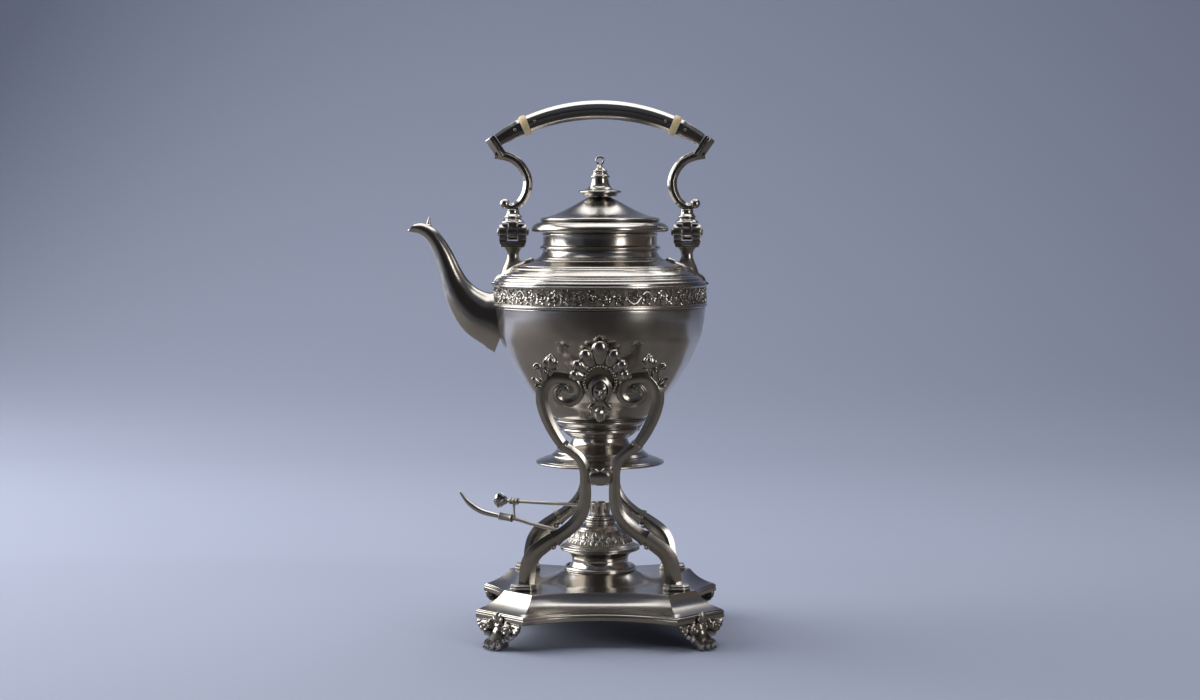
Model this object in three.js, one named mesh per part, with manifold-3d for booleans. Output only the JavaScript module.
// Spirit kettle on a lamp stand: a silver hot water kettle that tilts between two lyre frames.
// Millimetres, +Z up, the spout points to -X, the front frame is on the -Y side.

import * as THREE from "three";
import { mergeVertices } from "three/addons/utils/BufferGeometryUtils.js";
import Module from "manifold-3d";

const wasm = await Module();
wasm.setup();

// Driving dimensions: general fits
const seatGap = 0.3;
const runningGap = 0.4;
const cutOverrun = 6;

// Driving dimensions: plinth
const rimReach = 92;
const rimNotch = 56;
const rimWaist = 73;
const rimBottomHeight = 20;
const rimHeight = 5.5;
const deckHeight = 39;
const deckReach = 71;
const deckNotch = 50;
const deckWaist = 60;
const deckFlatRadius = 50;
const seatRise = 7.5;
const seatRadius = 27.5;
const plinthWall = 2.2;

// Driving dimensions: lamp seat ring
const seatRingWall = 2.4;
const seatRingHeight = 3.4;

// Driving dimensions: paw feet
const pawLength = 19;
const pawWidth = 17;
const pawHeight = 13.5;
const pawInset = 2;
const pawSoleThickness = 1.6;
const ankleRadius = 5.2;
const bracketWidth = 46;
const bracketThickness = 5;
const pawVoluteRadius = 4.6;
const pawVoluteWidth = 5;
const rimLeafHeight = 8.5;
const rimLeafWidth = 8;
const rimLeafThickness = 1.8;
const pawForward = 4;

// Driving dimensions: lyre frames
const pivotRise = 41;
const pivotReach = 75;
const frameFootReach = 47.5;
const frameSpread = 57;
const strapWidth = 12;
const neckStrapWidth = 8.2;
const strapThickness = 4;
const strapFlatShare = 0.36;
const voluteEyeRadius = 3.2;
const lowerKneeRadius = 2.6;
const upperKneeRadius = 1.9;
const leafLength = 17;
const leafWidth = 11;
const leafThickness = 2.2;
const collarLength = 20;
const collarDepth = 13;
const collarHeight = 4.2;
const claspWidth = 15.4;
const claspHeight = 12;
const claspCoverThickness = 2.6;
const maskRadius = 7.6;
const headDrop = 1.2;
const haloRise = 4.6;
const chinWidth = 8;
const chinReach = 13.9;
const maskRise = 5;
const maskHeight = 19;
const haloRadius = 11.6;
const haloBeadRadius = 1.1;
const palmetteLength = 27;
const palmetteSideLength = 21;
const palmetteLobeWidth = 6.6;
const palmetteThickness = 2.4;
const pendantLength = 11.5;
const pendantRadius = 4;
const bearingWidth = 48;
const bearingHeight = 13;
const bearingThickness = 2.8;
const bearingBossRadius = 7;
const trunnionRadius = 3.6;
const trunnionFlangeRadius = 8.5;
const trunnionFlangeReach = 67.6;

// Driving dimensions: kettle
const bowlRadius = 80;
const bowlBottomHeight = 152;
const bowlTopHeight = 248;
const kettleWall = 1.6;
const bandRadius = 81.4;
const bandHeight = 17.2;
const bandWall = 3;
const shoulderRadius = 80.6;
const shoulderHeight = 23.6;
const neckRadius = 43.3;
const neckHeight = 14.4;
const neckWall = 2;
const neckBeadRadius = 45.8;
const footRadius = 49;
const footHeight = 23.2;

// Driving dimensions: spout
const spoutReach = 143;
const spoutMouthHeight = 308;
const spoutRootDrop = 11;
const spoutPortRadius = 11;
const spoutPortDrop = 7;
const spoutRootTall = 48;
const spoutRootWide = 34;
const spoutWall = 1.6;
const spoutSpikeHeight = 7;
const spoutSpikeRadius = 1.9;

// Driving dimensions: bail brackets and hinges
const hingeReach = 66;
const hingeHeight = 304.6;
const saddleLength = 34;
const saddleWidth = 22;
const saddleThickness = 2.6;
const waistWidth = 10.5;
const waistDepth = 8.5;
const knuckleRadius = 6;
const hingeBlockWidth = 20.4;
const hingeBlockDepth = 12;
const hingeBlockHeight = 5;
const lugWidth = 7;
const hingePinRadius = 1.7;
const hingePinHeadRadius = 3;
const hingePinHeadLength = 1.6;

// Driving dimensions: bail handle
const gripRise = 99.2;
const gripThickness = 14.4;
const gripDepth = 15;
const handleArcRadius = 142;
const gripHalfAngle = 22.3;
const insulatorAngle = 2.1;
const socketAngle = 8.2;
const insulatorProud = 1;
const socketThickness = 12.6;
const socketEndThickness = 10;
const flareRadius = 9;
const flareRise = 7.9;
const flareThickness = 2;
const reelRadius = 6.5;
const reelNeckRadius = 4.6;
const scrollRadius = 3.6;
const scrollBallRadius = 3.9;
const handleTangWidth = 6;
const handleTangAngle = 4;
const elbowAngle = 3.4;
const elbowDrop = 7;
const handlePinRadius = 1.1;
const handlePinProud = 0.7;

// Driving dimensions: lid
const lidRimRadius = 52.1;
const lidRimThickness = 4.4;
const lidStepRadius = 44;
const lidRise = 22.6;
const lidStepRise = 10.4;
const lidWall = 1.6;
const bezelDepth = 6.5;
const bezelWall = 1.4;
const finialPlateRadius = 16.3;
const finialHeight = 24.4;
const finialStudRadius = 2;
const finialStudLength = 10;
const finialRingRadius = 2.7;
const finialRingWire = 0.9;
const nutRadius = 5;
const nutHeight = 2.8;

// Driving dimensions: lamp
const lampFit = 0.7;
const lampBaseLip = 2.8;
const lampRadius = 30.4;
const lampReservoirHeight = 17;
const lampWall = 1.5;
const coverHeight = 24;
const burnerSeatRadius = 12.2;
const burnerRadius = 7.6;
const burnerHeight = 9.8;
const burnerWall = 0.9;
const burnerSlotWidth = 1.5;
const burnerSlotHeight = 5.4;
const burnerSlotCount = 10;
const wickTubeRadius = 4.2;
const wickRadius = 3.1;
const wickTubeWall = 0.7;
const wickTubeLength = 34;
const wickLength = 44;
const sleeveWall = 1;
const sleeveHeight = 4;
const rodRadius = 1.35;
const rodDrop = 3;
const rodAzimuth = 156.5;
const knobRadius = 7;
const knobLength = 11;
const knobPointCount = 6;
const rodCollarRadius = 2.6;
const rodCollarLength = 2;
const rodOverrun = 11;
const strutRadius = 1;
const strutEyeRadius = 2.5;
const strutEyeLength = 2.4;
const lampHandleReach = 120;
const lampHandleTipHeight = 99.5;
const lampHandleRootReach = 30;
const lampHandleRootHeight = 69.5;
const lampHandleWire = 1.5;
const lampHandleGripRadius = 2.2;
const lampHandleTipRadius = 1;
const ferruleRadius = 3.2;
const ferruleLength = 11;

// Facet counts
const bigSegments = 24;
const midSegments = 18;
const smallSegments = 12;
const pinSegments = 8;
const curveSteps = 40;
const spoutSteps = 14;

// Numbers without a unit that several pieces share
const half = 0.5;
const fullTurn = 2 * Math.PI;
const degree = Math.PI / 180;

// Geometry helpers

function merged(geometry) {
  const bare = geometry.index ? geometry.toNonIndexed() : geometry.clone();
  bare.deleteAttribute("normal");
  bare.deleteAttribute("uv");
  const welded = mergeVertices(bare, seatGap / 1000);
  const index = welded.index.array;
  const kept = [];
  for (let i = 0; i < index.length; i += 3) {
    const [a, b, c] = [index[i], index[i + 1], index[i + 2]];
    if (a !== b && b !== c && c !== a) {
      kept.push(a, b, c);
    }
  }
  welded.setIndex(kept);
  return welded;
}

function signedVolume(geometry) {
  const position = geometry.attributes.position;
  const index = geometry.index.array;
  const corners = [new THREE.Vector3(), new THREE.Vector3(), new THREE.Vector3()];
  let total = 0;
  for (let i = 0; i < index.length; i += 3) {
    corners.forEach((corner, k) => corner.fromBufferAttribute(position, index[i + k]));
    total += corners[0].dot(corners[1].clone().cross(corners[2])) / 6;
  }
  return total;
}

function outward(geometry) {
  const closed = merged(geometry);
  if (signedVolume(closed) < 0) {
    const index = Array.from(closed.index.array);
    for (let i = 0; i < index.length; i += 3) {
      [index[i + 1], index[i + 2]] = [index[i + 2], index[i + 1]];
    }
    closed.setIndex(index);
  }
  return closed;
}

function toSolid(geometry) {
  const closed = outward(geometry);
  const vertProperties = new Float32Array(closed.attributes.position.array);
  const triVerts = new Uint32Array(closed.index.array);
  return new wasm.Manifold(new wasm.Mesh({ numProp: 3, vertProperties, triVerts }));
}

function toGeometry(solid) {
  const mesh = solid.getMesh();
  const geometry = new THREE.BufferGeometry();
  geometry.setAttribute("position", new THREE.BufferAttribute(new Float32Array(mesh.vertProperties), 3));
  geometry.setIndex(Array.from(mesh.triVerts));
  return geometry;
}

function join(...pieces) {
  return toGeometry(pieces.map(toSolid).reduce((sum, piece) => sum.add(piece)));
}

function cut(base, ...tools) {
  return toGeometry(tools.map(toSolid).reduce((rest, tool) => rest.subtract(tool), toSolid(base)));
}

function common(first, second) {
  return toGeometry(toSolid(first).intersect(toSolid(second)));
}

// A solid of revolution about Z from [radius, height] points
function turned(points, segments = bigSegments) {
  const profile = points.map(([radius, height]) => new THREE.Vector2(radius, height));
  return outward(new THREE.LatheGeometry(profile, segments).rotateX(Math.PI / 2));
}

// Points of a profile given as shares of a radius and of a height above a base
function profileOf(shares, radius, base, height) {
  return shares.map(([r, z]) => [r * radius, base + z * height]);
}

// The same profile moved inwards by a wall, through every other point, walked back in the other direction
function innerWall(profile, wall) {
  const points = profile.filter((_, i) => i % 2 === 0 || i === profile.length - 1);
  return points
    .map(([radius, height], i) => {
      const before = points[Math.max(i - 1, 0)];
      const after = points[Math.min(i + 1, points.length - 1)];
      const along = new THREE.Vector2(after[0] - before[0], after[1] - before[1]).normalize();
      const top = points[points.length - 1][1];
      const inner = THREE.MathUtils.clamp(height + along.x * wall, points[0][1], top);
      return [Math.max(radius - along.y * wall, 0), inner];
    })
    .reverse();
}

// A solid through rings of points that all have the same count, with flat ends
function lofted(rings) {
  const count = rings[0].length;
  const position = [];
  rings.forEach((ring) => ring.forEach((point) => position.push(point.x, point.y, point.z)));
  const index = [];
  for (let r = 0; r + 1 < rings.length; r += 1) {
    for (let i = 0; i < count; i += 1) {
      const next = (i + 1) % count;
      const [a, b] = [r * count + i, r * count + next];
      index.push(a, b, b + count, a, b + count, a + count);
    }
  }
  const addEnd = (ring, first, reversed) => {
    const middle = ring.reduce((sum, point) => sum.add(point), new THREE.Vector3()).divideScalar(count);
    const centre = position.length / 3;
    position.push(middle.x, middle.y, middle.z);
    for (let i = 0; i < count; i += 1) {
      const next = (i + 1) % count;
      const [b, c] = reversed ? [next, i] : [i, next];
      index.push(centre, first + b, first + c);
    }
  };
  addEnd(rings[0], 0, true);
  addEnd(rings[rings.length - 1], (rings.length - 1) * count, false);
  const geometry = new THREE.BufferGeometry();
  geometry.setAttribute("position", new THREE.Float32BufferAttribute(position, 3));
  geometry.setIndex(index);
  return outward(geometry);
}

// A section carried along a curve that lies in the XZ plane; size gives [in plane, across] at a share t
function sweptInPlane(curve, steps, section, size) {
  const rings = [];
  for (let i = 0; i <= steps; i += 1) {
    const t = i / steps;
    const centre = curve.getPoint(t);
    const along = curve.getTangent(t);
    const side = new THREE.Vector3(along.z, 0, -along.x);
    const across = new THREE.Vector3(0, 1, 0);
    const [inPlane, deep] = size(t);
    rings.push(section.map(([u, v]) => centre.clone()
      .addScaledVector(side, u * inPlane * half)
      .addScaledVector(across, v * deep * half)));
  }
  return lofted(rings);
}

function roundSection(count) {
  return Array.from({ length: count }, (_, i) => {
    const angle = ((i + half) / count) * fullTurn;
    return [Math.cos(angle), Math.sin(angle)];
  });
}

function planeCurve(points) {
  const places = points.map(([x, z]) => new THREE.Vector3(x, 0, z));
  return new THREE.CatmullRomCurve3(places, false, "centripetal");
}

function blend(stops, t) {
  const place = t * (stops.length - 1);
  const low = Math.min(Math.floor(place), stops.length - 2);
  return THREE.MathUtils.lerp(stops[low], stops[low + 1], place - low);
}

function barAlongX(radius, from, to, segments = pinSegments) {
  const bar = new THREE.CylinderGeometry(radius, radius, to - from, segments);
  return bar.rotateZ(-Math.PI / 2).translate((from + to) / 2, 0, 0);
}

function barAlongY(radius, from, to, segments = pinSegments) {
  return new THREE.CylinderGeometry(radius, radius, to - from, segments).translate(0, (from + to) / 2, 0);
}

function upright(radius, from, to, segments = pinSegments) {
  const bar = new THREE.CylinderGeometry(radius, radius, to - from, segments);
  return bar.rotateX(Math.PI / 2).translate(0, 0, (from + to) / 2);
}

function ball(radius, x, y, z, segments = pinSegments) {
  return new THREE.SphereGeometry(radius, segments, segments / 2).translate(x, y, z);
}

// A flat shape drawn in X and Z, given depth along Y and centred on Y = 0
function plate(points, depth) {
  const shape = new THREE.Shape(points.map(([x, z]) => new THREE.Vector2(x, z)));
  const solid = new THREE.ExtrudeGeometry(shape, { depth, bevelEnabled: false });
  return solid.rotateX(Math.PI / 2).translate(0, depth / 2, 0);
}

// Materials
const silver = () => new THREE.MeshStandardMaterial({ color: 0xb9b4ac, roughness: 0.25, metalness: 1 });
const darkSilver = () => new THREE.MeshStandardMaterial({ color: 0x8c867c, roughness: 0.4, metalness: 1 });
const steel = () => new THREE.MeshStandardMaterial({ color: 0x6f6c68, roughness: 0.45, metalness: 1 });
const ivory = () => new THREE.MeshStandardMaterial({ color: 0xc7a86b, roughness: 0.5, metalness: 0 });
const cotton = () => new THREE.MeshStandardMaterial({ color: 0xd9d2c0, roughness: 0.95, metalness: 0 });

const model = new THREE.Group();

function place(name, geometry, material, parent = model) {
  const mesh = new THREE.Mesh(outward(geometry), material());
  mesh.name = name;
  parent.add(mesh);
  return mesh;
}

// Plinth

const sideSteps = 6;

// One ring of the plinth: four sides that curve inwards and four straight canted corners
function plinthRing(reach, notch, waist, height) {
  const quarter = [];
  for (let i = 0; i <= sideSteps; i += 1) {
    const across = -1 + (2 * i) / sideSteps;
    const depth = THREE.MathUtils.lerp(waist, reach, across * across);
    quarter.push(new THREE.Vector3(across * notch, -depth, height));
  }
  const ring = [];
  for (let turn = 0; turn < 4; turn += 1) {
    const angle = turn * Math.PI / 2;
    quarter.forEach((point) => ring.push(point.clone().applyAxisAngle(new THREE.Vector3(0, 0, 1), angle)));
  }
  return ring;
}

// A circle with its points at the same bearings as the plinth's ring
function roundRing(radius, height) {
  return plinthRing(deckReach, deckNotch, deckWaist, height).map((point) => {
    const bearing = Math.atan2(point.y, point.x);
    return new THREE.Vector3(Math.cos(bearing) * radius, Math.sin(bearing) * radius, height);
  });
}

const rimTopHeight = rimBottomHeight + rimHeight;
const seatHeight = deckHeight + seatRise;
const coveShares = [[0.06, 0.03], [0.32, 0.185], [0.6, 0.41], [0.85, 0.74], [1, 1]];
const deckRiseShares = [[0, 0], [0.34, 0.13], [0.65, 0.42], [0.86, 0.76], [1, 1]];

// The inner skin of the plinth follows fewer of its rings
function isEndOrOdd(_, i, shares) {
  return i % 2 === 1 || i === shares.length - 1;
}

function plinthRings(inset, drop, bottom, keep) {
  const rings = [
    plinthRing(rimReach - inset, rimNotch, rimWaist - inset, bottom),
    plinthRing(rimReach - inset, rimNotch, rimWaist - inset, rimTopHeight - drop),
  ];
  coveShares.filter(keep).forEach(([inward, upward]) => rings.push(plinthRing(
    THREE.MathUtils.lerp(rimReach, deckReach, inward) - inset,
    THREE.MathUtils.lerp(rimNotch, deckNotch, inward),
    THREE.MathUtils.lerp(rimWaist, deckWaist, inward) - inset,
    THREE.MathUtils.lerp(rimTopHeight, deckHeight, upward) - drop,
  )));
  deckRiseShares.filter(keep).forEach(([inward, upward]) => rings.push(roundRing(
    THREE.MathUtils.lerp(deckFlatRadius, seatRadius, inward),
    deckHeight + upward * seatRise - drop,
  )));
  return rings;
}

place("base_plinth", cut(
  lofted(plinthRings(0, 0, rimBottomHeight, () => true)),
  lofted(plinthRings(plinthWall, plinthWall, rimBottomHeight - cutOverrun, isEndOrOdd)),
), silver);

const seatRingTop = seatHeight + seatGap + seatRingHeight;
place("lamp_seat_ring", turned([
  [seatRadius - seatRingWall, seatHeight + seatGap],
  [seatRadius, seatHeight + seatGap],
  [seatRadius, seatRingTop - seatRingWall / 2],
  [seatRadius - seatRingWall / 2, seatRingTop],
  [seatRadius - seatRingWall, seatRingTop],
  [seatRadius - seatRingWall, seatHeight + seatGap],
], midSegments), silver);

// Paw feet, drawn with the diagonal outward direction along +X and then turned to each corner
const cornerReach = (rimReach + rimNotch) / Math.SQRT2;
const pawTop = rimBottomHeight - seatGap;
const bracketShares = [
  [-1, 1], [-0.86, 0.78], [-0.6, 0.7], [-0.42, 0.45], [-0.28, 0.32], [0.28, 0.32], [0.42, 0.45], [0.6, 0.7],
  [0.86, 0.78], [1, 1],
];
const rimLeafShares = [[-0.5, 0], [0.5, 0], [0.42, 0.5], [0.2, 0.85], [0, 1], [-0.2, 0.85], [-0.42, 0.5]];

function pawFoot() {
  const paw = new THREE.SphereGeometry(1, pinSegments, pinSegments);
  paw.scale(pawLength / 2, pawWidth / 2, pawHeight).translate(pawForward, 0, 0);
  const sole = new THREE.CylinderGeometry(1, 1, pawSoleThickness, pinSegments).rotateX(Math.PI / 2);
  sole.scale(pawLength / 2, pawWidth / 2, 1).translate(pawForward, 0, pawSoleThickness / 2);
  const below = new THREE.BoxGeometry(pawLength * 2, pawWidth * 2, pawHeight * 2);
  below.translate(0, 0, -pawHeight);
  const ankle = upright(ankleRadius, pawHeight / 2, pawTop, smallSegments / 2);
  const wings = plate(bracketShares.map(([u, v]) => [u * bracketWidth / 2, v * pawTop]), bracketThickness);
  wings.rotateZ(Math.PI / 2);
  const voluteHeight = pawTop - pawVoluteRadius - seatGap;
  const volutes = [-1, 1].map((side) => barAlongX(pawVoluteRadius, -pawVoluteWidth / 2, pawVoluteWidth / 2)
    .translate(0, side * (ankleRadius + pawVoluteRadius * half), voluteHeight));
  const leafPlace = pawInset + seatGap + rimLeafThickness / 2;
  const leafOutline = rimLeafShares.map(([u, v]) => [u * rimLeafWidth, v * rimLeafHeight]);
  const leaf = plate(leafOutline, rimLeafThickness);
  leaf.rotateZ(Math.PI / 2).translate(leafPlace, 0, pawTop);
  const stalk = new THREE.BoxGeometry(leafPlace, rimLeafWidth, rimLeafThickness);
  stalk.translate(leafPlace / 2, 0, pawTop - rimLeafThickness / 2);
  return join(cut(paw, below), sole, ankle, wings, ...volutes, leaf, stalk);
}

const corners = [["front_right", -45], ["rear_right", 45], ["rear_left", 135], ["front_left", -135]];
corners.forEach(([corner, bearing]) => {
  const foot = place(`paw_foot_${corner}`, pawFoot(), silver);
  const reach = cornerReach - pawInset;
  foot.position.set(reach * Math.cos(bearing * degree), reach * Math.sin(bearing * degree), 0);
  foot.rotation.z = bearing * degree;
});

// Lyre frames: each stands on the deck and leans outwards; drawn in its own plane, X across and Z up
const pivotHeight = bowlBottomHeight + pivotRise;
const lean = Math.atan2(pivotReach - frameFootReach, pivotHeight - deckHeight);
const frameRise = (pivotHeight - deckHeight) / Math.cos(lean);
const collarTop = deckHeight + seatGap + collarHeight;
const strapFace = strapThickness / 2;
const plateBack = strapFace + seatGap;
const plateFront = plateBack + palmetteThickness;

// The strap's middle line from its foot to the start of the volute, as shares of the spread and the rise
const strapShares = [
  [0.959, 0], [0.947, 0.078], [0.915, 0.14], [0.845, 0.185], [0.753, 0.214], [0.648, 0.242], [0.476, 0.283],
  [0.328, 0.332], [0.229, 0.39], [0.194, 0.45], [0.188, 0.52], [0.197, 0.597], [0.25, 0.647], [0.352, 0.682],
  [0.465, 0.712], [0.537, 0.747], [0.636, 0.812], [0.708, 0.88], [0.741, 0.945], [0.71, 1], [0.61, 1.037],
];
const voluteCentreShare = [0.413, 0.978];

// The volute's middle line about its centre: [angle from straight out, share of the spread]
const voluteShares = [
  [85, 0.157], [130, 0.155], [180, 0.152], [225, 0.155], [270, 0.159], [315, 0.156], [345, 0.145],
  [375, 0.118], [402, 0.083], [430, 0.05],
];

// The strap's width at each of those points, from the foot to the end of the volute
const strapWidthShares = [
  1, 1.01, 1.01, 1, 0.97, 0.92, 0.84, 0.82, 0.79, 0.74, 0.683, 0.667, 0.64, 0.62, 0.62, 0.63,
  0.66, 0.71, 0.74, 0.72, 0.66, 0.6, 0.53, 0.47, 0.43, 0.4, 0.37, 0.35, 0.33, 0.31, 0.28,
];
const eyeShiftShare = [0.026, 0.01];
const neckShare = 0.188;
const claspShare = 0.56;
const kneeShares = [[0.62, 0.219, lowerKneeRadius], [0.43, 0.722, upperKneeRadius]];

function strapCurve() {
  const points = strapShares.map(([x, z]) => [x * frameSpread, z * frameRise]);
  const centre = [voluteCentreShare[0] * frameSpread, voluteCentreShare[1] * frameRise];
  voluteShares.forEach(([turn, share]) => {
    const angle = turn * degree;
    const radius = share * frameSpread;
    points.push([centre[0] + Math.cos(angle) * radius, centre[1] + Math.sin(angle) * radius]);
  });
  return planeCurve(points);
}

const strapSectionShares = [
  [-1, 0], [-strapFlatShare, -1], [strapFlatShare, -1], [1, 0], [strapFlatShare, 1], [-strapFlatShare, 1],
];

// Leaves on the shoulder of the volute: [place across, place up, bearing, size]
const leafShares = [[0.637, 1.045, 92, 1], [0.7, 1.02, 68, 0.8], [0.72, 1, 41, 0.62]];
const leafOutlineShares = [[0, 0.4], [0.4, 1], [1, 0], [0.4, -1], [0, -0.4]];

function strap(frameMatrix) {
  const curve = strapCurve();
  const bar = sweptInPlane(curve, curveSteps, strapSectionShares, (t) => [
    blend(strapWidthShares, t) * strapWidth,
    strapThickness,
  ]);
  const eyeX = (voluteCentreShare[0] + eyeShiftShare[0]) * frameSpread;
  const eyeZ = (voluteCentreShare[1] + eyeShiftShare[1]) * frameRise;
  const eye = barAlongY(voluteEyeRadius, -strapFace, strapFace).translate(eyeX, 0, eyeZ);
  const knees = kneeShares.map(([x, z, radius]) => barAlongY(radius, -strapFace, strapFace)
    .translate(x * frameSpread, 0, z * frameRise));
  const leaves = leafShares.map(([x, z, bearing, size]) => {
    const outline = leafOutlineShares.map(([u, v]) => [u * leafLength * size, v * leafWidth * size * half]);
    const leaf = plate(outline, leafThickness * size).rotateY(-bearing * degree);
    return leaf.translate(x * frameSpread, 0, z * frameRise);
  });
  const under = new THREE.BoxGeometry(frameSpread * 2, frameSpread * 2, collarHeight * 4)
    .translate(frameSpread, -frameFootReach, collarTop + seatGap - collarHeight * 2)
    .applyMatrix4(frameMatrix.clone().invert());
  return cut(join(bar, eye, ...knees, ...leaves), under);
}

function clasp() {
  const gapWidth = 2 * (neckShare * frameSpread - neckStrapWidth / 2 - seatGap);
  const coverBack = strapFace + seatGap;
  const coverFront = coverBack + claspCoverThickness;
  const core = new THREE.BoxGeometry(gapWidth, coverFront + strapFace, claspHeight);
  core.translate(0, (strapFace - coverFront) / 2, 0);
  const cover = new THREE.CylinderGeometry(claspHeight / 2, claspHeight / 2, claspWidth, smallSegments);
  cover.rotateZ(Math.PI / 2).scale(1, 2 * claspCoverThickness / claspHeight, 1).translate(0, -coverBack, 0);
  const behind = new THREE.BoxGeometry(claspWidth * 2, claspHeight, claspHeight * 2);
  behind.translate(0, claspHeight / 2 - coverBack, 0);
  return join(core, cut(cover, behind)).translate(0, 0, claspShare * frameRise);
}

// A fan of lobes that rises behind the mask
const palmetteRootShare = 1.052;
const lobeCount = 9;
const lobeSpreadAngle = 76;
const lobeShares = [[0.6, -0.28], [0.88, -0.43], [1, 0], [0.88, 0.43], [0.6, 0.28]];

function palmetteOutline() {
  const outline = [];
  for (let lobe = 0; lobe < lobeCount; lobe += 1) {
    const place = (2 * lobe) / (lobeCount - 1) - 1;
    const bearing = (90 - place * lobeSpreadAngle) * degree;
    const length = THREE.MathUtils.lerp(palmetteLength, palmetteSideLength, Math.abs(place));
    lobeShares.forEach(([out, side]) => {
      const across = -side * palmetteLobeWidth;
      outline.push([
        Math.cos(bearing) * out * length - Math.sin(bearing) * across,
        palmetteRootShare * frameRise + Math.sin(bearing) * out * length + Math.cos(bearing) * across,
      ]);
    });
  }
  outline.push([maskRadius, frameRise - maskRadius / 2], [-maskRadius, frameRise - maskRadius / 2]);
  return outline;
}

function maskAndPalmette() {
  const plateMiddle = -plateBack - palmetteThickness / 2;
  const fan = plate(palmetteOutline(), palmetteThickness - 2 * seatGap);
  fan.translate(0, plateMiddle, 0);
  const disc = turned([
    [0, plateBack],
    [haloRadius + haloBeadRadius, plateBack],
    [haloRadius + haloBeadRadius, plateFront],
    [haloRadius, plateFront + haloBeadRadius],
    [haloRadius - haloBeadRadius, plateFront],
    [0, plateFront],
  ], midSegments).rotateX(Math.PI / 2).translate(0, 0, haloRise);
  const head = new THREE.SphereGeometry(1, pinSegments, pinSegments);
  head.scale(maskRadius, maskRise + palmetteThickness, maskHeight / 2).translate(0, -plateBack, -headDrop);
  const behind = new THREE.BoxGeometry(maskHeight * 2, maskHeight * 2, maskHeight * 2);
  behind.translate(0, maskHeight + plateMiddle, 0);
  const chin = new THREE.BoxGeometry(chinWidth, palmetteThickness - seatGap, maskHeight / 2);
  chin.translate(0, plateMiddle, maskHeight / 4 - chinReach);
  const medallion = join(disc, cut(head, behind), chin).translate(0, 0, frameRise);
  return join(fan, medallion);
}

const pendantShares = [
  [0, 0], [0.4, 0.06], [0.95, 0.3], [1, 0.5], [0.7, 0.72], [0.3, 0.86], [0.45, 0.95], [0, 1],
];

function pendant() {
  const top = frameRise - chinReach - seatGap;
  const profile = profileOf(pendantShares, pendantRadius, top - pendantLength, pendantLength);
  const drop = turned(profile, pinSegments);
  return drop.translate(0, -plateFront + haloBeadRadius, 0);
}

function bearing(frameMatrix) {
  const toFrame = frameMatrix.clone().invert();
  const bar = new THREE.BoxGeometry(bearingWidth, bearingThickness, bearingHeight)
    .translate(0, plateBack + bearingThickness / 2, frameRise);
  const bossBack = plateBack + bearingThickness;
  const boss = barAlongY(bearingBossRadius, seatGap - strapFace, bossBack, smallSegments)
    .translate(0, 0, frameRise);
  const boreReach = cutOverrun * 2;
  const bore = barAlongY(
    trunnionRadius + runningGap,
    -pivotReach - boreReach,
    -pivotReach + boreReach,
    smallSegments,
  ).translate(0, 0, pivotHeight).applyMatrix4(toFrame);
  return cut(join(bar, boss), bore);
}

function collar() {
  const profile = profileOf(
    [[0, 0], [1, 0], [1, 0.34], [0.8, 0.5], [0.8, 0.72], [0.68, 1], [0, 1]],
    1,
    0,
    collarHeight,
  );
  return turned(profile, smallSegments).scale(collarLength / 2, collarDepth / 2, 1);
}

[["front", 0], ["rear", Math.PI]].forEach(([end, turn]) => {
  const side = new THREE.Group();
  side.rotation.z = turn;
  model.add(side);
  const frame = new THREE.Group();
  frame.position.set(0, -frameFootReach, deckHeight);
  frame.rotation.x = lean;
  frame.updateMatrix();
  side.add(frame);
  const hands = end === "front" ? ["left", "right"] : ["right", "left"];
  place(`${end}_${hands[1]}_strap`, strap(frame.matrix), silver, frame);
  place(`${end}_${hands[0]}_strap`, strap(frame.matrix).scale(-1, 1, 1), silver, frame);
  place(`${end}_neck_clasp`, clasp(), silver, frame);
  place(`${end}_mask_palmette`, maskAndPalmette(), silver, frame);
  place(`${end}_pendant_drop`, pendant(), silver, frame);
  place(`${end}_trunnion_bearing`, bearing(frame.matrix), darkSilver, frame);
  hands.forEach((hand, i) => {
    const foot = place(`${end}_${hand}_collar`, collar(), silver, side);
    foot.position.set((i * 2 - 1) * frameSpread, -frameFootReach, deckHeight + seatGap);
  });
});

// Kettle: bowl, frieze band, shoulder with neck, pedestal foot, all turned about Z

const bowlShares = [
  [0.285, 0], [0.361, 0.03], [0.418, 0.07], [0.438, 0.101], [0.475, 0.141], [0.541, 0.22], [0.631, 0.299],
  [0.718, 0.394], [0.779, 0.473], [0.855, 0.576], [0.921, 0.695], [0.96, 0.774], [0.988, 0.893], [1, 1],
];
const shoulderShares = [
  [1, 0], [1, 0.072], [0.953, 0.161], [0.914, 0.258], [0.849, 0.419], [0.769, 0.581], [0.67, 0.678],
  [0.583, 0.784], [0.55, 0.898],
];
const footShares = [
  [1, 0], [1, 0.07], [0.93, 0.14], [0.81, 0.36], [0.72, 0.49], [0.6, 0.57], [0.5, 0.66], [0.445, 0.77],
  [0.43, 0.88], [0.47, 1],
];
const bandBottom = bowlTopHeight + seatGap;
const shoulderBottom = bandBottom + bandHeight + seatGap;
const neckBottom = shoulderBottom + shoulderHeight;
const neckTop = neckBottom + neckHeight;
const neckBore = neckRadius - neckWall;
const bowlPoints = profileOf(bowlShares, bowlRadius, bowlBottomHeight, bowlTopHeight - bowlBottomHeight);
const shoulderPoints = profileOf(shoulderShares, shoulderRadius, shoulderBottom, shoulderHeight);
const footTop = bowlBottomHeight - seatGap;
const footBottom = footTop - footHeight;
const footPoints = profileOf(footShares, footRadius, footBottom, footHeight);

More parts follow.
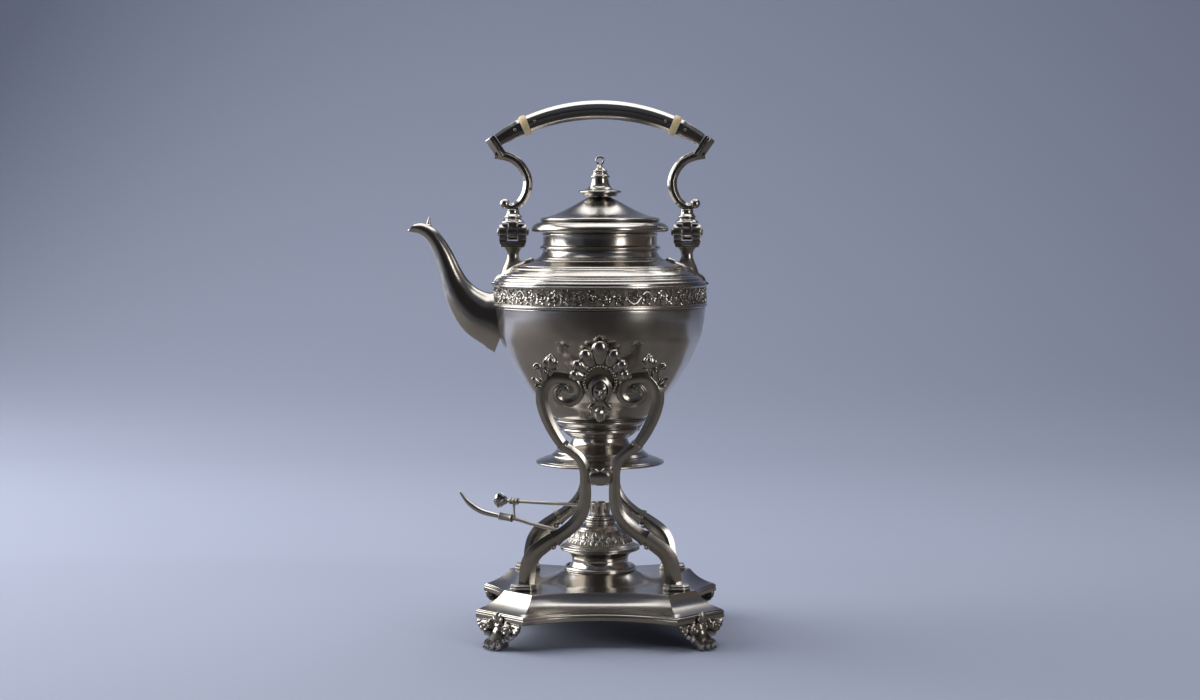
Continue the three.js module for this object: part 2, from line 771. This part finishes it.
// The outside of the whole kettle body as one solid, grown by a margin
function kettleEnvelope(grow) {
  const skin = [...bowlPoints, [bandRadius, bandBottom], [bandRadius, shoulderBottom], ...shoulderPoints];
  return turned([
    [0, bowlBottomHeight - grow],
    ...skin.map(([radius, height]) => [radius + grow, height + (height <= bandBottom ? 0 : grow)]),
    [neckRadius + grow, neckBottom],
    [neckRadius + grow, neckTop],
    [0, neckTop],
  ]);
}

const spoutRootHeight = bowlTopHeight - spoutRootDrop;
const portHeight = spoutRootHeight - spoutPortDrop;
const port = barAlongX(spoutPortRadius, -bowlRadius - cutOverrun, -bowlRadius / 2, smallSegments)
  .translate(0, 0, portHeight);

place("kettle_bowl", cut(turned([
  [0, bowlBottomHeight],
  ...bowlPoints,
  ...innerWall(bowlPoints, kettleWall),
  [0, bowlBottomHeight + kettleWall],
]), port), silver);

const bandTop = bandBottom + bandHeight;
place("frieze_band", turned([
  [bandRadius - bandWall, bandBottom],
  [bandRadius, bandBottom],
  [bandRadius, bandTop],
  [bandRadius - bandWall, bandTop],
  [bandRadius - bandWall, bandBottom],
]), darkSilver);

const beadShares = [[0, 0.02], [1, 0.14], [1, 0.34], [0, 0.42]];
place("kettle_shoulder", turned([
  ...shoulderPoints,
  [neckRadius, neckBottom],
  ...beadShares.map(([out, up]) => [
    THREE.MathUtils.lerp(neckRadius, neckBeadRadius, out),
    neckBottom + up * neckHeight,
  ]),
  [neckRadius, neckTop],
  [neckBore, neckTop],
  [neckBore, neckBottom],
  ...innerWall(shoulderPoints, kettleWall),
  shoulderPoints[0],
]), silver);

place("kettle_foot", turned([
  ...footPoints,
  [0, footTop],
  [0, footTop - kettleWall * 2],
  ...innerWall(footPoints, kettleWall).slice(1, -1),
  [footRadius - kettleWall, footBottom],
  footPoints[0],
], midSegments), silver);

// Spout: a round tube along a swan neck in the XZ plane
const spoutShares = [
  [0.434, 0], [0.55, 0.01], [0.645, 0.085], [0.72, 0.224], [0.768, 0.385], [0.8, 0.545], [0.831, 0.706],
  [0.867, 0.845], [0.906, 0.941], [0.951, 0.99], [1, 1],
];
const spoutTallShares = [1.04, 0.95, 0.76, 0.57, 0.427, 0.348, 0.3, 0.25, 0.219, 0.188, 0.135];
const spoutWideShares = [1.06, 0.97, 0.79, 0.63, 0.515, 0.447, 0.4, 0.36, 0.33, 0.3, 0.235];
const spoutSpikeShare = 0.84;
const spoutPoints = spoutShares.map(([x, z]) => [
  -x * spoutReach,
  THREE.MathUtils.lerp(spoutRootHeight, spoutMouthHeight, z),
]);
const spoutCurve = planeCurve(spoutPoints);

function spoutSize(t, wall) {
  return [
    blend(spoutTallShares, t) * spoutRootTall - 2 * wall,
    blend(spoutWideShares, t) * spoutRootWide - 2 * wall,
  ];
}

function spoutBore() {
  const first = spoutPoints[0];
  const last = spoutPoints[spoutPoints.length - 1];
  const curve = planeCurve([
    [first[0] + cutOverrun, first[1]], ...spoutPoints, [last[0] - cutOverrun, last[1]],
  ]);
  const count = spoutPoints.length;
  return sweptInPlane(curve, spoutSteps, roundSection(smallSegments), (t) => {
    const inner = THREE.MathUtils.clamp((t * (count + 1) - 1) / (count - 1), 0, 1);
    return spoutSize(inner, spoutWall);
  });
}

const spikeFootTall = blend(spoutTallShares, spoutSpikeShare) * spoutRootTall;
const spoutSpike = new THREE.ConeGeometry(spoutSpikeRadius, spoutSpikeHeight, smallSegments / 2);
spoutSpike.rotateX(Math.PI / 2);
const spikeRoot = spoutCurve.getPoint(spoutSpikeShare);
spoutSpike.translate(
  spikeRoot.x,
  0,
  spikeRoot.z + (spikeFootTall - spoutWall + spoutSpikeHeight) / 2,
);
const spoutSection = roundSection(smallSegments);
const spoutOutside = sweptInPlane(spoutCurve, spoutSteps, spoutSection, (t) => spoutSize(t, 0));
place("spout", cut(
  join(spoutOutside, spoutSpike),
  spoutBore(),
  kettleEnvelope(seatGap),
), silver);

// Trunnions: a flange on the bowl and a pin that turns in the frame's bearing
const trunnionEnd = pivotReach + strapFace - trunnionRadius * Math.sin(lean) - seatGap;
[["front", -1], ["rear", 1]].forEach(([end, sign]) => {
  const flange = barAlongY(trunnionFlangeRadius, bowlRadius / 2, trunnionFlangeReach, midSegments);
  const pin = barAlongY(trunnionRadius, bowlRadius / 2, trunnionEnd, smallSegments);
  const whole = join(flange, pin).scale(1, sign, 1).translate(0, 0, pivotHeight);
  place(`${end}_trunnion`, cut(whole, kettleEnvelope(seatGap)), silver);
});

// Bail brackets: a saddle on the shoulder, a waisted post and two knuckles
const knuckleGap = lugWidth / 2 + runningGap;
const blockTop = hingeHeight - knuckleRadius - seatGap;
const postShares = [
  [1.9, 1.9, 0.2], [1.7, 1.7, 0.45], [1.3, 1.3, 0.58], [1.02, 1.02, 0.7], [1, 1, 0.78], [1.15, 1.08, 0.86],
  [1.7, 1.3, 1],
];

function bracket() {
  const saddleBottom = shoulderBottom + saddleThickness / 2;
  const column = new THREE.CylinderGeometry(1, 1, neckTop - saddleBottom, smallSegments);
  column.rotateX(Math.PI / 2);
  column.scale(saddleLength / 2, saddleWidth / 2, 1).translate(hingeReach, 0, (neckTop + saddleBottom) / 2);
  const saddle = common(column, kettleEnvelope(seatGap + saddleThickness));
  const postBottom = shoulderBottom;
  const section = roundSection(pinSegments);
  const post = lofted(postShares.map(([wide, deep, up]) => section.map(([u, v]) => new THREE.Vector3(
    hingeReach + u * wide * waistWidth / 2,
    v * deep * waistDepth / 2,
    THREE.MathUtils.lerp(postBottom, blockTop - hingeBlockHeight, up),
  ))));
  const block = new THREE.BoxGeometry(hingeBlockWidth, hingeBlockDepth, hingeBlockHeight);
  block.translate(hingeReach, 0, blockTop - hingeBlockHeight / 2);
  const knuckles = [-1, 1].flatMap((side) => {
    const width = hingeBlockWidth / 2 - knuckleGap;
    const middle = hingeReach + side * (knuckleGap + width / 2);
    const round = barAlongX(knuckleRadius, -width / 2, width / 2, smallSegments);
    round.translate(middle, 0, hingeHeight);
    const webBottom = blockTop - hingeBlockHeight / 2;
    const web = new THREE.BoxGeometry(width, hingeBlockDepth, hingeHeight - webBottom);
    web.translate(middle, 0, (hingeHeight + webBottom) / 2);
    return [round, web];
  });
  const boreFrom = hingeReach - hingeBlockWidth;
  const bore = barAlongX(hingePinRadius + seatGap, boreFrom, boreFrom + hingeBlockWidth * 2);
  bore.translate(0, 0, hingeHeight);
  return cut(join(saddle, post, block, ...knuckles), kettleEnvelope(seatGap), bore);
}

function hingePin() {
  const end = hingeBlockWidth / 2 + seatGap + hingePinHeadLength;
  const shaft = barAlongX(hingePinRadius, -end, end);
  const heads = [-1, 1].map((side) => {
    const middle = side * (end - hingePinHeadLength / 2);
    return barAlongX(hingePinHeadRadius, middle - hingePinHeadLength / 2, middle + hingePinHeadLength / 2);
  });
  return join(shaft, ...heads).translate(hingeReach, 0, hingeHeight);
}

[["right", 1], ["left", -1]].forEach(([hand, sign]) => {
  place(`${hand}_bail_bracket`, bracket().scale(sign, 1, 1), silver);
  place(`${hand}_hinge_pin`, hingePin().scale(sign, 1, 1), steel);
});

// Bail handle: everything above the scrolls follows one arc
const arcCentre = hingeHeight + gripRise - gripThickness / 2 - handleArcRadius;
const arcGap = seatGap / handleArcRadius / degree;
const insulatorStart = gripHalfAngle + arcGap;
const insulatorEnd = insulatorStart + insulatorAngle;
const socketStart = insulatorEnd + arcGap;
const socketEnd = socketStart + socketAngle;
const elbowStart = socketEnd + arcGap;

// A piece of the arc between two angles from the top; stops give [thickness, depth] along it
function arcPiece(from, to, stops, section = roundSection(8), steps = stops.length - 1) {
  const rings = [];
  for (let i = 0; i <= steps; i += 1) {
    const t = i / steps;
    const angle = THREE.MathUtils.lerp(from, to, t) * degree;
    const thick = blend(stops.map((stop) => stop[0]), t) / 2;
    const deep = blend(stops.map((stop) => stop[1]), t) / 2;
    rings.push(section.map(([u, v]) => {
      const radius = handleArcRadius + v * thick;
      return new THREE.Vector3(Math.sin(angle) * radius, u * deep, arcCentre + Math.cos(angle) * radius);
    }));
  }
  return lofted(rings);
}

function onArc(angle) {
  const turn = angle * degree;
  return [Math.sin(turn) * handleArcRadius, arcCentre + Math.cos(turn) * handleArcRadius];
}

const tangSize = [handleTangWidth, handleTangWidth];
const tangHole = tangSize.map((size) => size + 2 * seatGap);
const tangEnd = gripHalfAngle - handleTangAngle;
const gripPinAngle = gripHalfAngle - handleTangAngle / 2;
const socketPinAngle = socketStart + socketAngle / 4;

function crossPin(angle, radius, length) {
  const [x, z] = onArc(angle);
  return barAlongY(radius, -length / 2, length / 2, smallSegments / 2).translate(x, 0, z);
}

const gripSteps = 12;
const gripEndShare = 0.96;
const gripStops = [
  [gripThickness * gripEndShare, gripDepth * gripEndShare],
  [gripThickness, gripDepth],
  [gripThickness * gripEndShare, gripDepth * gripEndShare],
];
const tangStops = [tangHole, tangHole, tangHole];
const tangSection = [[-1, -1], [1, -1], [1, 1], [-1, 1]];
place("handle_grip", cut(
  arcPiece(-gripHalfAngle, gripHalfAngle, gripStops, roundSection(8), gripSteps),
  arcPiece(tangEnd - arcGap, insulatorEnd, tangStops, tangSection),
  arcPiece(-insulatorEnd, arcGap - tangEnd, tangStops, tangSection),
  crossPin(gripPinAngle, handlePinRadius + seatGap, gripDepth * 2),
  crossPin(-gripPinAngle, handlePinRadius + seatGap, gripDepth * 2),
), silver);

const pinLength = gripDepth + 2 * handlePinProud;
[["right", 1], ["left", -1]].forEach(([hand, sign]) => {
  place(`${hand}_grip_pin`, crossPin(sign * gripPinAngle, handlePinRadius, pinLength), darkSilver);
  place(`${hand}_socket_pin`, crossPin(sign * socketPinAngle, handlePinRadius, pinLength), darkSilver);
});

const insulatorStops = [
  [gripThickness, gripDepth],
  [gripThickness + 2 * insulatorProud, gripDepth + 2 * insulatorProud],
  [gripThickness, gripDepth],
];
const elbowSize = [socketEndThickness, socketEndThickness];

function insulator() {
  return cut(
    arcPiece(insulatorStart, insulatorEnd, insulatorStops, roundSection(pinSegments)),
    arcPiece(gripHalfAngle - insulatorAngle, socketStart + insulatorAngle, tangStops, tangSection),
  );
}

function socket() {
  const shell = arcPiece(socketStart, socketEnd, [
    [socketThickness, socketThickness],
    [socketThickness * 0.92, socketThickness * 0.92],
    elbowSize,
  ]);
  const tang = arcPiece(tangEnd, socketStart + arcGap, [tangSize, tangSize, tangSize], tangSection);
  return cut(
    join(shell, tang),
    crossPin(gripPinAngle, handlePinRadius + seatGap, gripDepth * 2),
    crossPin(socketPinAngle, handlePinRadius + seatGap, gripDepth * 2),
  );
}

// The scroll from its ball up to the elbow, as shares of the hinge's reach and of the elbow's height
const scrollShares = [
  [1.094, 0.331], [1.014, 0.295], [0.921, 0.342], [0.852, 0.449], [0.829, 0.59], [0.876, 0.731],
  [0.967, 0.837], [1.082, 0.89], [1.2, 0.915],
];
const reelShares = [
  [0, 0], [flareRadius, 0], [flareRadius, 0.19], [reelNeckRadius, 0.28], [reelNeckRadius, 0.72],
  [reelRadius, 0.86], [reelRadius, 1], [0, 1],
];
const scrollSteps = 14;
const scrollSegments = 6;

function scrollArm() {
  const elbowEnd = elbowStart + elbowAngle;
  const elbowZ = onArc(elbowEnd)[1];
  const rise = elbowZ - hingeHeight;
  const points = scrollShares.map(([x, z]) => [x * hingeReach, hingeHeight + z * rise]);
  const curve = planeCurve(points);
  const scrollSize = [scrollRadius * 2, scrollRadius * 2];
  const scroll = sweptInPlane(curve, scrollSteps, roundSection(scrollSegments), () => scrollSize);
  const elbow = arcPiece(elbowStart, elbowEnd, [elbowSize, elbowSize]);
  const inwards = elbowStart * degree;
  const heel = elbow.clone().translate(-Math.sin(inwards) * elbowDrop, 0, -Math.cos(inwards) * elbowDrop);
  const tip = ball(scrollBallRadius, points[0][0], 0, points[0][1]);
  const lug = barAlongX(knuckleRadius, hingeReach - lugWidth / 2, hingeReach + lugWidth / 2, smallSegments);
  lug.translate(0, 0, hingeHeight);
  const flareBottom = hingeHeight + flareRise - flareThickness / 2;
  const neck = new THREE.BoxGeometry(lugWidth, flareRadius, flareBottom - hingeHeight + seatGap);
  neck.translate(hingeReach, 0, (flareBottom + seatGap + hingeHeight) / 2);
  const reelTop = points[1][1] - scrollRadius * half;
  const reel = turned(reelShares.map(([radius, up]) => [
    radius,
    THREE.MathUtils.lerp(flareBottom, reelTop, up),
  ]), pinSegments).translate(hingeReach, 0, 0);
  const bore = barAlongX(hingePinRadius + runningGap, hingeReach - lugWidth, hingeReach + lugWidth);
  bore.translate(0, 0, hingeHeight);
  const slit = arcPiece(socketEnd - elbowAngle, elbowStart, [
    [gripThickness, gripDepth], [gripThickness * half, gripDepth],
  ]);
  return cut(join(scroll, elbow, heel, tip, lug, neck, reel), bore, slit);
}

[["right", 1], ["left", -1]].forEach(([hand, sign]) => {
  place(`${hand}_scroll_arm`, scrollArm().scale(sign, 1, 1), silver);
  place(`${hand}_socket`, socket().scale(sign, 1, 1), silver);
  place(`${hand}_insulator`, insulator().scale(sign, 1, 1), ivory);
});

// Lid with its bezel, finial and the nut beneath it
const lidBottom = neckTop + seatGap;
const bezelRadius = neckBore - runningGap;
const lidTop = lidBottom + lidRise + lidRimThickness;
const lidShares = [
  [0.154, 1], [0.234, 0.93], [0.38, 0.775], [0.526, 0.63], [0.672, 0.497], [0.826, 0.435],
];
const lidPoints = lidShares.map(([r, z]) => [r * lidRimRadius, lidBottom + z * (lidTop - lidBottom)]);
const studHole = finialStudRadius + seatGap;
place("lid", turned([
  [studHole, lidTop],
  ...lidPoints,
  [lidStepRadius, lidBottom + lidStepRise],
  [lidStepRadius + lidRimThickness / 4, lidBottom + lidStepRise - lidRimThickness / 2],
  [lidRimRadius, lidBottom + lidRimThickness],
  [lidRimRadius, lidBottom + lidRimThickness / 2],
  [lidRimRadius - lidRimThickness / 2, lidBottom],
  [bezelRadius, lidBottom],
  [bezelRadius, lidBottom - bezelDepth],
  [bezelRadius - bezelWall, lidBottom - bezelDepth],
  [bezelRadius - bezelWall, lidBottom + lidStepRise - lidWall],
  ...lidPoints.filter((_, i) => i % 2 === 0).reverse().map(([r, z]) => [r, z - lidWall * 1.5]),
  [studHole, lidTop - lidWall * 1.5],
  [studHole, lidTop],
]), silver);

const finialBase = lidTop + seatGap;
const finialShares = [
  [0, 0], [0.8, 0], [0.84, 0.05], [1, 0.12], [1, 0.165], [0.86, 0.2], [0.58, 0.24], [0.455, 0.345],
  [0.4, 0.525], [0.46, 0.615], [0.37, 0.68], [0.345, 0.79], [0.27, 0.835], [0.16, 0.92], [0.085, 1], [0, 1],
];
const finialProfile = profileOf(finialShares, finialPlateRadius, finialBase, finialHeight);
const finialBody = turned(finialProfile, smallSegments);
const finialRing = new THREE.TorusGeometry(finialRingRadius, finialRingWire, 6, smallSegments)
  .rotateX(Math.PI / 2)
  .translate(0, 0, finialBase + finialHeight + finialRingRadius);
const finialStud = upright(finialStudRadius, finialBase - finialStudLength, finialBase + seatGap);
place("lid_finial", join(finialBody, finialRing, finialStud), silver);

const nutTop = lidTop - lidWall * 1.5 - seatGap;
place("lid_nut", cut(
  upright(nutRadius, nutTop - nutHeight, nutTop, 6),
  upright(studHole, nutTop - nutHeight * 2, nutTop + nutHeight),
), steel);

// Lamp: reservoir, cover, burner, wick and its regulator
const lampBase = seatHeight + seatGap;
const lampBaseRadius = seatRadius - seatRingWall - lampFit;
const reservoirShares = [[0.757, 0.247], [0.7, 0.5], [0.74, 0.688], [0.888, 0.87], [1, 0.965], [1, 1]];
const reservoirPoints = [
  [lampBaseRadius, lampBase],
  [lampBaseRadius, lampBase + lampBaseLip],
  ...profileOf(reservoirShares, lampRadius, lampBase, lampReservoirHeight),
];
const lampInside = innerWall(reservoirPoints.slice(2), lampWall);
place("lamp_reservoir", turned([
  [0, lampBase],
  ...reservoirPoints,
  ...lampInside,
  [lampInside[lampInside.length - 1][0], lampBase + lampWall],
  [0, lampBase + lampWall],
], midSegments), silver);

const coverBase = lampBase + lampReservoirHeight + seatGap;
const coverTop = coverBase + coverHeight;
const coverShares = [
  [1, 0], [0.98, 0.054], [0.85, 0.12], [0.796, 0.246], [0.743, 0.412], [0.625, 0.558], [0.507, 0.6625],
  [0.414, 0.7375],
];
const coverPoints = profileOf(coverShares, lampRadius, coverBase, coverHeight);
const coverTopShares = [[1, 0.84], [0.84, 0.9], [0.82, 1]];
const coverTopPoints = profileOf(coverTopShares, burnerSeatRadius, coverBase, coverHeight);
const coverBore = wickTubeRadius + runningGap;
place("lamp_cover", turned([
  ...coverPoints,
  ...coverTopPoints,
  [coverBore, coverTop],
  [coverBore, coverPoints[coverPoints.length - 1][1]],
  ...innerWall(coverPoints, lampWall),
  coverPoints[0],
], midSegments), silver);

const burnerBase = coverTop + seatGap;
const burnerTop = burnerBase + burnerHeight;
const rodHeight = burnerTop - rodDrop;
const rodTurn = rodAzimuth * degree;
const slots = Array.from({ length: burnerSlotCount - 1 }, (_, i) => {
  const slot = new THREE.BoxGeometry(burnerRadius, burnerSlotWidth, burnerSlotHeight);
  return slot
    .translate(burnerRadius, 0, burnerBase + burnerHeight * half)
    .rotateZ(rodTurn + ((i + 1) * fullTurn) / burnerSlotCount);
});
const rodHole = barAlongX(rodRadius + runningGap, burnerRadius / 2, burnerRadius * 2)
  .translate(0, 0, rodHeight)
  .rotateZ(rodTurn);
place("burner_tube", cut(turned([
  [burnerRadius - burnerWall, burnerBase],
  [burnerRadius, burnerBase],
  [burnerRadius, burnerTop],
  [burnerRadius - burnerWall, burnerTop],
  [burnerRadius - burnerWall, burnerBase],
], midSegments), ...slots, rodHole), darkSilver);

const wickTubeTop = burnerTop - rodDrop - rodRadius;
place("wick_tube", turned([
  [wickTubeRadius - wickTubeWall, wickTubeTop - wickTubeLength],
  [wickTubeRadius, wickTubeTop - wickTubeLength],
  [wickTubeRadius, wickTubeTop],
  [wickTubeRadius - wickTubeWall, wickTubeTop],
  [wickTubeRadius - wickTubeWall, wickTubeTop - wickTubeLength],
], smallSegments), darkSilver);
const wickTop = burnerTop - rodRadius;
place("wick", upright(wickRadius, wickTop - wickLength, wickTop, pinSegments), cotton);

const sleeveBore = wickTubeRadius + runningGap;
const sleeveBottom = burnerBase + runningGap;
place("flame_sleeve", turned([
  [sleeveBore, sleeveBottom],
  [sleeveBore + sleeveWall, sleeveBottom],
  [sleeveBore + sleeveWall, sleeveBottom + sleeveHeight],
  [sleeveBore, sleeveBottom + sleeveHeight],
  [sleeveBore, sleeveBottom],
], smallSegments), darkSilver);

// The regulator rod, its knob, the strut and the lamp's handle lie in one upright plane
const lampArm = new THREE.Group();
lampArm.rotation.z = rodTurn;
model.add(lampArm);

const strutShare = 0.6083;
const strutReach = strutShare * lampHandleReach;
const rodLength = strutReach + rodOverrun;
const rodStart = sleeveBore + sleeveWall + runningGap;
const collarInner = strutEyeLength / 2 + runningGap;
const rodCollars = [-1, 1].map((side) => {
  const near = strutReach + side * collarInner;
  const far = near + side * rodCollarLength;
  return barAlongX(rodCollarRadius, Math.min(near, far), Math.max(near, far)).translate(0, 0, rodHeight);
});
place("regulator_rod", join(
  barAlongX(rodRadius, rodStart, rodLength).translate(0, 0, rodHeight),
  ...rodCollars,
), darkSilver, lampArm);

const knobStart = rodLength - knobLength * 0.4;
const knobShares = [[0, 0], [0.36, 0], [0.55, 0.18], [1, 0.5], [0.5, 0.86], [0.2, 1], [0, 1]];
const knobBody = turned(profileOf(knobShares, knobRadius, 0, knobLength), knobPointCount)
  .rotateY(Math.PI / 2)
  .translate(knobStart, 0, rodHeight);
const knobSocket = barAlongX(rodRadius + seatGap, knobStart - cutOverrun, rodLength + seatGap);
place("regulator_knob", cut(knobBody, knobSocket.translate(0, 0, rodHeight)), silver, lampArm);

// The lamp handle's middle line from its tip to its root, as shares of its reach and of its rise
const lampHandleShares = [
  [1, 1], [0.962, 0.83], [0.925, 0.705], [0.854, 0.555], [0.782, 0.485], [0.7, 0.438], [0.612, 0.4],
  [0.565, 0.368],
  [0.49, 0.3], [0.416, 0.25], [0.35, 0.2], [0.29, 0.117], [0.25, 0],
];
const ferruleCentreShare = 0.668;
const lampHandlePoints = lampHandleShares.map(([x, z]) => [
  x * lampHandleReach,
  THREE.MathUtils.lerp(lampHandleRootHeight, lampHandleTipHeight, z),
]);
const lampHandleCurve = planeCurve(lampHandlePoints);
const reachAt = (t) => lampHandleCurve.getPoint(t).x;

// The place on the handle's line where it passes a given reach
function handleShareAt(reach) {
  let low = 0;
  let high = 1;
  for (let i = 0; i < curveSteps; i += 1) {
    const middle = (low + high) / 2;
    if (reachAt(middle) > reach) {
      low = middle;
    } else {
      high = middle;
    }
  }
  return low;
}

function handlePart(from, to, steps, radii) {
  const [first, last] = [handleShareAt(from), handleShareAt(to)];
  const points = Array.from({ length: steps + 1 }, (_, i) => {
    const point = lampHandleCurve.getPoint(THREE.MathUtils.lerp(first, last, i / steps));
    return [point.x, point.z];
  });
  return sweptInPlane(planeCurve(points), steps, roundSection(8), (t) => {
    const size = 2 * blend(radii, t);
    return [size, size];
  });
}

const ferruleOuter = ferruleCentreShare * lampHandleReach + ferruleLength / 2;
const ferruleInner = ferruleOuter - ferruleLength;
const ferruleMiddle = (ferruleOuter + ferruleInner) / 2;
const handleSteps = 10;
place("lamp_handle", handlePart(lampHandleReach, ferruleMiddle + seatGap, handleSteps, [
  lampHandleTipRadius, lampHandleGripRadius, lampHandleGripRadius, lampHandleWire, lampHandleWire,
]), silver, lampArm);
place("lamp_handle_ferrule", cut(
  handlePart(ferruleOuter, ferruleInner, 4, [ferruleRadius, ferruleRadius]),
  handlePart(ferruleOuter + cutOverrun, ferruleInner - cutOverrun, 6, [
    lampHandleGripRadius + seatGap, lampHandleGripRadius + seatGap,
  ]),
), darkSilver, lampArm);

const coverEnvelope = turned([
  [0, coverBase],
  ...[...coverPoints, ...coverTopPoints].map(([r, z]) => [r + seatGap, z]),
  [0, coverTop],
], midSegments).rotateZ(-rodTurn);
const stemOuter = ferruleMiddle - seatGap;
const stemInner = lampHandleRootReach - cutOverrun;
const stemWire = [lampHandleWire, lampHandleWire];
place("lamp_handle_stem", cut(
  handlePart(stemOuter, stemInner, handleSteps, stemWire),
  coverEnvelope,
), silver, lampArm);

const strutFoot = lampHandleCurve.getPoint(handleShareAt(strutReach)).z + lampHandleWire + seatGap;
const strutBoreRadius = rodRadius + runningGap;
const strutEye = barAlongX(strutEyeRadius, -strutEyeLength / 2, strutEyeLength / 2)
  .translate(strutReach, 0, rodHeight);
const strutBore = barAlongX(strutBoreRadius, -strutEyeLength, strutEyeLength)
  .translate(strutReach, 0, rodHeight);
const strutLeg = upright(strutRadius, strutFoot, rodHeight - strutBoreRadius, pinSegments)
  .translate(strutReach, 0, 0);
place("regulator_strut", cut(join(strutEye, strutLeg), strutBore), darkSilver, lampArm);

// The origin is under the middle of the whole object, on the surface that it stands on
const box = new THREE.Box3().setFromObject(model, true);
const centre = box.getCenter(new THREE.Vector3());
model.position.set(-centre.x, -centre.y, -box.min.z);

export default model;
